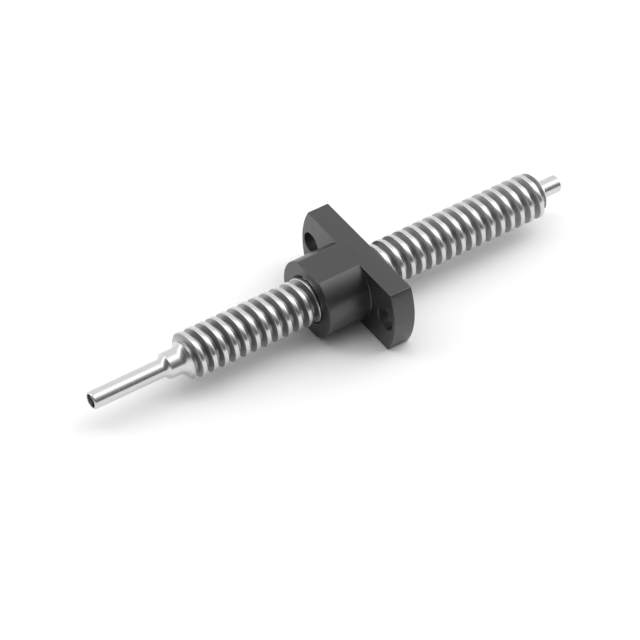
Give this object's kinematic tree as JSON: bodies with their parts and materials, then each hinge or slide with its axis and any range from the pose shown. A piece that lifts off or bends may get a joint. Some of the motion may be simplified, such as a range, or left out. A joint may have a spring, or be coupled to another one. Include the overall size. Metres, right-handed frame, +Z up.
{
  "type": "lead screw with flange nut",
  "caption": "Trapezoidal lead screw with plain end journals and a two-flat flanged plastic nut that travels along it to turn rotation into linear motion.",
  "frame": {"origin": "middle of the overall box, on the surface that the nut's lower flat stands on; the screw's axis is 6 mm above it", "axes": "+X along the screw from the long journal to the short journal, +Z up through the nut's flats, +Y along the flange's length"},
  "size_m": [0.0904, 0.026, 0.012],
  "materials": {
    "ground_steel": "bright turned and rolled steel, semi-gloss",
    "black_acetal": "moulded black acetal, satin"
  },
  "bodies": {
    "screw": {"lead_screw": "ground_steel"},
    "nut": {"flange_nut": "black_acetal"}
  },
  "joints": [
    {"name": "nut_travel", "type": "slide", "parent": "screw", "child": "nut", "axis": [1, 0, 0], "range_m": [-0.018, 0.03]}
  ]
}
